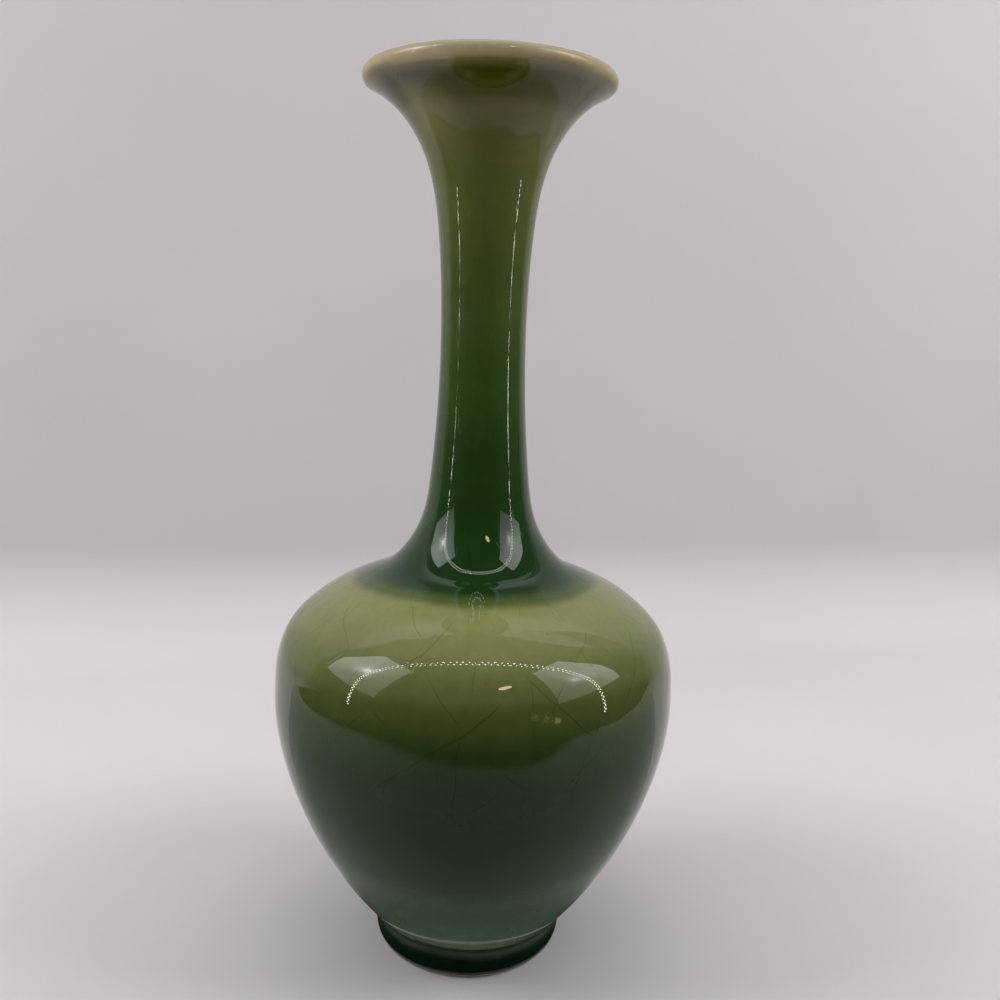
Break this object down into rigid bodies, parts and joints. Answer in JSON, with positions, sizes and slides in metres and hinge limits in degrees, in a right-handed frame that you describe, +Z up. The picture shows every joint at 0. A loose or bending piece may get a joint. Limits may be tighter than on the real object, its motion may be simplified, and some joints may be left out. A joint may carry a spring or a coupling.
{
  "type": "long-necked bottle vase",
  "caption": "Green-glazed bottle vase with an ovoid body, high shoulder, long slender neck, trumpet mouth with a rolled lip, and a low foot ring, for holding a few stems.",
  "frame": {"origin": "on the wheel axis, at the plane that the foot ring rests on", "axes": "+Z up along the wheel axis, from the foot to the mouth; the vase is round, so +X and +Y are free"},
  "size_m": [0.1158, 0.1158, 0.25],
  "materials": {
    "fired_clay": "matte",
    "fired_slip": "matte",
    "green_glaze": "gloss"
  },
  "bodies": {
    "root": {"foot_ring": "fired_clay", "foot_slip": "fired_slip", "lower_body": "fired_clay", "belly_slip": "fired_slip", "upper_body": "fired_clay", "neck_slip": "fired_slip", "neck": "fired_clay", "outer_glaze": "green_glaze", "inner_glaze": "green_glaze", "base_glaze": "green_glaze"}
  },
  "joints": []
}
